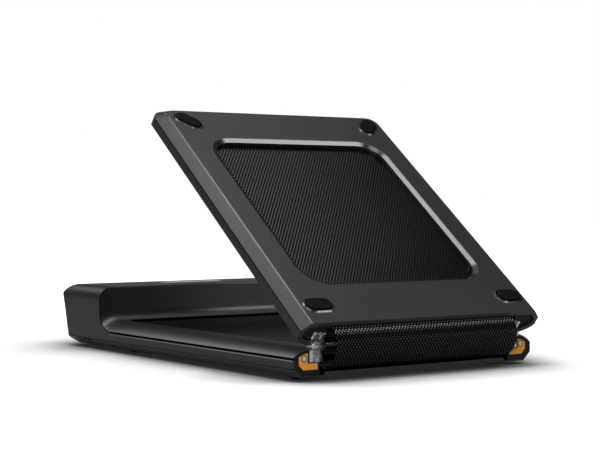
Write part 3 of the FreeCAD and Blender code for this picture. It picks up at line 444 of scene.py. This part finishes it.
def circuitMask(name):
    finish = startFinish(name, {"Coat Weight": circuit["coat"], "Coat Roughness": circuit["coatRoughness"]})
    sockets = {"Vector": finish.place, "Scale": circuit["cells"], "Mortar Size": circuit["line"],
               "Bias": 0.0}
    lines = finish.node("TexBrick", {"offset": circuit["offset"]}, sockets, out=1)
    tone = finish.mixColour(lines, circuit["mask"], circuit["copper"])
    feedShader(finish, tone, circuit["roughness"] + lines * circuit["gloss"])
    bump(finish, lines, circuit["depth"])
    return finish.material


# smoked display window: near black under a clear glossy coat, with a faint finger-smudge haze
lens = {"haze": (30.0, 4.0), "dark": (0.004, 0.004, 0.005), "smudge": (0.010, 0.010, 0.012),
        "roughness": 0.1, "gloss": 0.15, "coat": 1.0, "coatRoughness": 0.04}


def smokedLens(name):
    finish = startFinish(name, {"Coat Weight": lens["coat"], "Coat Roughness": lens["coatRoughness"]})
    haze = noise(finish, *lens["haze"])
    tone = finish.mixColour(haze, lens["dark"], lens["smudge"])
    feedShader(finish, tone, lens["roughness"] + haze * lens["gloss"])
    return finish.material


# printed plate: orange field with a dark navy border along its edge
plate = {"orange": (0.95, 0.37, 0.026), "navy": (0.004, 0.008, 0.018), "border": 0.0011, "blur": 0.2,
         "bar": 0.0127, "corner": 0.0095, "brow": 0.0065, "dip": 0.002, "fine": (600.0, 2.0),
         "cloud": (40.0, 3.0), "darker": 0.88, "roughness": 0.42, "gloss": 0.1, "grain": 0.00003,
         "specular": 0.4}


def printedPlate(name):
    finish = startFinish(name, {"Specular IOR Level": plate["specular"]})
    fine = noise(finish, *plate["fine"])
    cloud = noise(finish, *plate["cloud"])
    low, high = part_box("marker_plate_right")
    across = finish.size(finish.part(finish.place, "X"))
    up = finish.part(finish.place, "Z")
    inner, outer = low.x, high.x
    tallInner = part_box("front_hinge_leaf_right")[1].x
    corner, brow, dip = plate["corner"], plate["brow"], plate["dip"]
    slant = (outer - across + up - low.z - corner) * math.sqrt(0.5)
    fall = brow - dip
    drop = ((outer - across) * fall + (high.z - brow - up) * corner) / math.hypot(fall, corner)
    top = high.z - up - (across - tallInner) * (dip / (outer - corner - tallInner))
    foot = (outer - across).least(up - low.z).least(slant)
    tall = (across - tallInner).least(drop).least(top).least(foot)
    bar = (across - inner).least(low.z + plate["bar"] - up).least(foot)
    depth = tall.most(bar)
    field = finish.step(depth, plate["border"] * (1 - plate["blur"]), plate["border"] * (1 + plate["blur"]))
    worn = finish.mixColour(cloud, scaled(plate["orange"], plate["darker"]), plate["orange"])
    tone = finish.mixColour(field, plate["navy"], worn)
    feedShader(finish, tone, plate["roughness"] + (fine - 0.5) * plate["gloss"])
    bump(finish, fine, plate["grain"])
    return finish.material


# running belt: its form, then the steps and counts of its mesh
belt = {"thick": 0.0018, "acrossCell": 0.00667, "alongCell": 0.0089, "raise": 0.0002, "hem": 0.004,
        "meet": 0.0001, "flatter": 0.0046, "windowSpan": (0.080, 0.535),
        "coarse": 0.02, "turnSteps": 24, "innerPoints": 5, "perCell": 4, "windowPerCell": 5,
        "wrapPerCell": 6, "wrapStrips": 4, "creasePerCell": 2, "creaseRows": 25}
# belt cover: dull black rubber whose worn-smooth diamonds shine and whose hollows stay matt and dark
cover = {"grit": (1600.0, 2.0), "dust": (18.0, 4.0), "band": (0.4, 0.8), "black": (0.0015, 0.0015, 0.0016),
         "dusty": (0.0025, 0.0025, 0.0027), "roughness": 0.5, "gritGloss": 0.2, "grain": 0.00005,
         "specular": 0.03, "coatIor": 2.1, "shine": (0.15, 0.65)}
beltLooks = {  # how much the diamonds and hollows shine on the lower run, on the deck and in the bends
    "lower": {"diamond": 1.0, "hollow": 0.0, "roughness": 0.14},
    "deck": {"diamond": 0.45, "hollow": 0.25, "roughness": 0.20},
    "bend": {"diamond": 0.52, "hollow": 0.0, "roughness": 0.19},
    "crease": {"diamond": 0.06, "hollow": 0.06, "roughness": 0.30},
}


def beltCover(name, look):
    finish = startFinish(name, {"Specular IOR Level": cover["specular"], "Coat IOR": cover["coatIor"],
                                "Coat Roughness": look["roughness"]})
    grit = noise(finish, *cover["grit"])
    dust = noise(finish, *cover["dust"])
    flat = finish.node("TexCoord", out="UV")
    phases = [finish.part(flat, axis) * (2 * math.pi / cell)
              for axis, cell in (("X", belt["acrossCell"]), ("Y", belt["alongCell"]))]
    waves = [finish.node("Math", {"operation": "COSINE"}, {0: phase}) for phase in phases]
    crown = finish.step(waves[0] * waves[1], *cover["shine"])
    tone = finish.mixColour(finish.step(dust, *cover["band"]), cover["black"], cover["dusty"])
    feedShader(finish, tone, cover["roughness"] + (grit - 0.5) * cover["gritGloss"])
    shine = look["hollow"] + crown * (look["diamond"] - look["hollow"])
    finish.feed(finish.shader.inputs["Coat Weight"], shine)
    bump(finish, grit, cover["grain"])
    return finish.material


finishes = {
    "cover_plastic": mouldedPlastic("coverPlastic", (0.013, 0.0132, 0.0135), 0.36, polish=polishedRims,
                                    seams=shadowGaps),
    "deck_plastic": mouldedPlastic("deckPlastic", (0.010, 0.010, 0.0103), 0.36, specular=0.66,
                                   seams=shadowGaps),
    "running_belt": beltCover("beltCover", beltLooks["lower"]),
    "foot_rubber": mattRubber("footRubber", (0.002, 0.002, 0.002), 0.55),
    "drive_rubber": mattRubber("driveRubber", (0.010, 0.010, 0.010), 0.6),
    "frame_paint": powderCoat("framePaint", (0.022, 0.022, 0.023)),
    "roller_steel": wornMetal("rollerSteel", (0.50, 0.50, 0.51), 0.32, (60, 1, 1)),
    "screw_steel": wornMetal("screwSteel", (0.84, 0.85, 0.88), 0.28),
    "hinge_alloy": wornMetal("hingeAlloy", (0.92, 0.92, 0.93), 0.28, (1, 1, 6), 0.00003),
    "heatsink_alloy": wornMetal("heatsinkAlloy", (0.62, 0.62, 0.63), 0.35, (1, 30, 1)),
    "deck_wood": pressedBoard("deckWood"),
    "plate_orange": printedPlate("plateOrange"),
    "circuit_green": circuitMask("circuitGreen"),
    "display_gloss": smokedLens("displayGloss"),
    "power_plastic": mouldedPlastic("powerPlastic", (0.010, 0.010, 0.010), 0.35),
    "wheel_plastic": mouldedPlastic("wheelPlastic", (0.016, 0.016, 0.016), 0.45),
}
deckCover = beltCover("deckCover", beltLooks["deck"])
bendCover = beltCover("bendCover", beltLooks["bend"])
creaseCover = beltCover("creaseCover", beltLooks["crease"])
# end caps: a darker, duller copy of the cover plastic, painted shade
capShadedFinish = mouldedPlastic("capPlastic", (0.008, 0.008, 0.0082), 0.55, specular=0.2)
for row in frame["record"]["subparts"]:
    isCap = "end_cap_" in row["node"] and "screw" not in row["node"]
    nodes[row["node"]].data.materials[0] = capShadedFinish if isCap else finishes[row["material_slot"]]
print("finishes made:", len(finishes))


# Meshes
def gridQuads(rows, columns):  # closed round its columns
    row, column = np.meshgrid(np.arange(rows - 1), np.arange(columns), indexing="ij")
    beside = (column + 1) % columns
    corners = [row * columns + column, row * columns + beside, (row + 1) * columns + beside,
               (row + 1) * columns + column]
    return np.stack(corners, -1).reshape(-1, 4)


# piece from a grid of points (rows, columns, 3), closed round its columns, with flat ends; uv is per point
def makePiece(name, points, slot, uv, flip=False, normals=None):
    rows, columns = points.shape[:2]
    quads = gridQuads(rows, columns)
    first = np.arange(columns)[::-1]
    last = np.arange(columns) + (rows - 1) * columns
    if flip:
        quads, first, last = quads[:, ::-1], first[::-1], last[::-1]
    loops = np.concatenate([quads.ravel(), first, last])
    sizes = np.concatenate([np.full(len(quads), 4), [columns, columns]])
    mesh = bpy.data.meshes.new(name)
    mesh.vertices.add(rows * columns)
    mesh.vertices.foreach_set("co", points.reshape(-1).astype(np.float32))
    mesh.loops.add(len(loops))
    mesh.loops.foreach_set("vertex_index", loops.astype(np.int32))
    mesh.polygons.add(len(sizes))
    mesh.polygons.foreach_set("loop_start", (np.cumsum(sizes) - sizes).astype(np.int32))
    mesh.polygons.foreach_set("use_smooth", np.concatenate([np.ones(len(quads), bool), [False, False]]))
    layer = mesh.uv_layers.new(name="beltUv")
    layer.data.foreach_set("uv", uv.reshape(-1, 2)[loops].reshape(-1).astype(np.float32))
    mesh.update(calc_edges=True)
    mesh.validate()
    if normals is not None:
        mesh.normals_split_custom_set_from_vertices(normals.reshape(-1, 3).tolist())
    mesh.materials.append(finishes[slot])
    made = bpy.data.objects.new(name, mesh)
    bpy.context.scene.collection.objects.link(made)
    return made


# Points of the two halves
def frontPoint(x, u, z):
    return np.stack(np.broadcast_arrays(x, hinge[1] + u, z), -1)


def rearPoint(x, u, z):  # turned about the hinge axis by the rest angle
    below = hinge[2] - z
    y = hinge[1] - below * math.sin(restFold) - u * math.cos(restFold)
    up = hinge[2] + u * math.sin(restFold) - below * math.cos(restFold)
    return np.stack(np.broadcast_arrays(x, y, up), -1)


def rearReach(place):  # how far along the rear half a point of the frame lies
    return (hinge[1] - place[1]) * math.cos(restFold) + (place[2] - hinge[2]) * math.sin(restFold)


# Running belt
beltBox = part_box("belt_front_run")
beltLow, beltTop, beltHalf = beltBox[0].z, beltBox[1].z, beltBox[1].x
turnRadius = (beltTop - beltLow) / 2
driveU = beltBox[1].y - hinge[1] - turnRadius
rearU = rearReach(joints["rear_roller_spin"]["pos_m"])
turnLength = math.pi * turnRadius


# height of the emboss: crossed cosines make rows of rounded diamonds, dying out at the belt's hems
def emboss(x, s):
    wave = np.cos(2 * np.pi * x / belt["acrossCell"]) * np.cos(2 * np.pi * s / belt["alongCell"])
    edge = np.clip((beltHalf - np.abs(x)) / belt["hem"], 0, 1)
    return belt["raise"] * wave * edge


# loop of one half from the fold line along the lower run, round the roller and back along the upper run
def loopPath(s, rollerU):
    angle = np.clip((s - rollerU) / turnRadius, 0, np.pi) - np.pi / 2
    straight = np.minimum(s, rollerU) - np.maximum(s - rollerU - turnLength, 0)
    u = straight + turnRadius * np.cos(angle)
    z = (beltLow + beltTop) / 2 + turnRadius * np.sin(angle)
    return u, z, np.cos(angle), np.sin(angle)


# belt section: the outer face from edge to edge, then the inner face back; isOuter is 1 on the outer face
def beltSection(perCell):
    count = int(2 * beltHalf / belt["acrossCell"] * perCell) + 1
    outer = np.linspace(-beltHalf, beltHalf, count)
    inner = np.linspace(beltHalf, -beltHalf, belt["innerPoints"])
    x = np.concatenate([outer, inner])
    isOuter = np.concatenate([np.ones(count), np.zeros(belt["innerPoints"])])
    return x, isOuter


def spaced(start, end, step):
    return np.linspace(start, end, max(2, int(round((end - start) / step)) + 1))


def beltRun(name, place, rollerU, s, embossed, perCell):
    x, isOuter = beltSection(perCell)
    u, z, outU, outZ = loopPath(s[:, None], rollerU)
    raised = emboss(x[None, :], s[:, None]) * embossed[:, None]
    offset = isOuter * raised - (1 - isOuter) * belt["thick"]
    points = place(x[None, :] + 0 * offset, u + outU * offset, z + outZ * offset)
    uv = np.stack(np.broadcast_arrays(x[None, :], s[:, None]), -1)
    return makePiece(name, points, "running_belt", uv, flip=place is rearPoint)


def makeBelts():
    fine = belt["alongCell"] / belt["perCell"]
    coarse = belt["coarse"]
    turnStep = turnLength / belt["turnSteps"]
    upperStart = driveU + turnLength
    meet = belt["meet"]  # the runs stop just short of the fold line, so that they don't touch when unfolded
    s = np.concatenate([spaced(meet, driveU, coarse)[:-1], spaced(driveU, upperStart, turnStep)[:-1],
                        spaced(upperStart, upperStart + driveU - meet, fine)])
    onDeck = np.where(s > upperStart, 1.0, 0.0)
    front = beltRun("beltFrontRun", frontPoint, driveU, s, onDeck, belt["perCell"])
    front.data.materials[0] = deckCover
    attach(front, "front_half")
    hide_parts("belt_front_run")
    near, far = belt["windowSpan"]
    half = rearU + turnLength / 2
    s = np.concatenate([spaced(meet, near, coarse)[:-1],
                        spaced(near, far, belt["alongCell"] / belt["windowPerCell"])[:-1],
                        spaced(far, rearU, coarse)[:-1], spaced(rearU, half, turnStep)])
    inWindow = np.where((s > near) & (s < far), 1.0, 0.0)
    under = beltRun("beltRearUnder", rearPoint, rearU, s, inWindow, belt["windowPerCell"])
    upperStart = rearU + turnLength
    s = np.concatenate([spaced(half, upperStart, turnStep)[:-1],
                        spaced(upperStart, upperStart + rearU - meet, fine)])
    onDeck = np.where(s > upperStart, 1.0, 0.0)
    deck = beltRun("beltRearDeck", rearPoint, rearU, s, onDeck, belt["perCell"])
    deck.data.materials[0] = deckCover
    for piece in (under, deck):
        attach(piece, "rear_half")
        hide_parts("belt_rear_run")


# place at an angle round the hinge axis, 0 on the front half's underside and restFold on the rear half's
def roundHinge(x, radius, turn):
    y = hinge[1] - radius * np.sin(turn)
    z = hinge[2] - radius * np.cos(turn)
    return np.stack(np.broadcast_arrays(x, y, z), -1)


# outer bend of the belt: a circle through the runs' ends that passes nearer to the hinge at its middle
def wrapArc():
    endRadius = hinge[2] - beltLow
    middle = endRadius - belt["flatter"]
    chord = endRadius * math.sin(restFold / 2)
    sag = middle - endRadius * math.cos(restFold / 2)
    radius = (chord ** 2 + sag ** 2) / (2 * sag)
    return radius, middle - radius, math.asin(chord / radius)


wrapRadius, wrapCentre, wrapReach = wrapArc()


# point of the outer bend: swing is the angle round the bend's own centre, 0 at its middle
def wrapPoint(x, isOuter, swing):
    raised = emboss(x, (swing + wrapReach) * wrapRadius)
    out = wrapRadius + isOuter * raised - (1 - isOuter) * belt["thick"]
    forward = out * np.cos(swing) + wrapCentre
    side = out * np.sin(swing)
    return roundHinge(x, np.hypot(forward, side), restFold / 2 + np.arctan2(side, forward))


# normals of the outer face, the cross product of the steps along its two directions, so that no seam shows
def wrapNormals(x, isOuter, swing):
    small = 0.0001
    across = wrapPoint(x + small, isOuter, swing) - wrapPoint(x - small, isOuter, swing)
    turn = small / wrapRadius
    along = wrapPoint(x, isOuter, swing + turn) - wrapPoint(x, isOuter, swing - turn)
    normals = np.cross(along, across)
    normals /= np.linalg.norm(normals, axis=-1, keepdims=True)
    return normals * isOuter[..., None]


def makeWrap():
    x, isOuter = [row[None, :] for row in beltSection(belt["wrapPerCell"])]
    edges = np.linspace(-wrapReach, wrapReach, belt["wrapStrips"] + 1)
    length = 2 * wrapReach * wrapRadius
    rows = int(length / belt["wrapStrips"] / belt["alongCell"] * belt["wrapPerCell"]) + 1
    for i in range(belt["wrapStrips"]):
        swing = np.linspace(edges[i], edges[i + 1], rows)[:, None]
        points = wrapPoint(x, isOuter, swing)
        normals = wrapNormals(x, isOuter, swing)
        uv = np.stack(np.broadcast_arrays(x, (swing + wrapReach) * wrapRadius), -1)
        strip = makePiece("beltWrap" + str(i + 1), points, "running_belt", uv, flip=True, normals=normals)
        strip.data.materials[0] = bendCover
        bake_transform(strip)
        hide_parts("belt_fold_wrap")


# inner bend: a small roll of belt round the hinge line
def makeCrease():
    x, isOuter = beltSection(belt["creasePerCell"])
    turn = np.linspace(0, restFold, belt["creaseRows"])[:, None]
    inner = hinge[2] - beltTop
    points = roundHinge(x[None, :] + 0 * turn, inner + (1 - isOuter) * belt["thick"], turn)
    uv = np.stack(np.broadcast_arrays(x[None, :], inner * turn), -1)
    crease = makePiece("beltCrease", points, "running_belt", uv)
    crease.data.materials[0] = creaseCover
    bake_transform(crease)
    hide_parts("belt_fold_crease")


makeBelts()
makeWrap()
makeCrease()
print("running belt made")
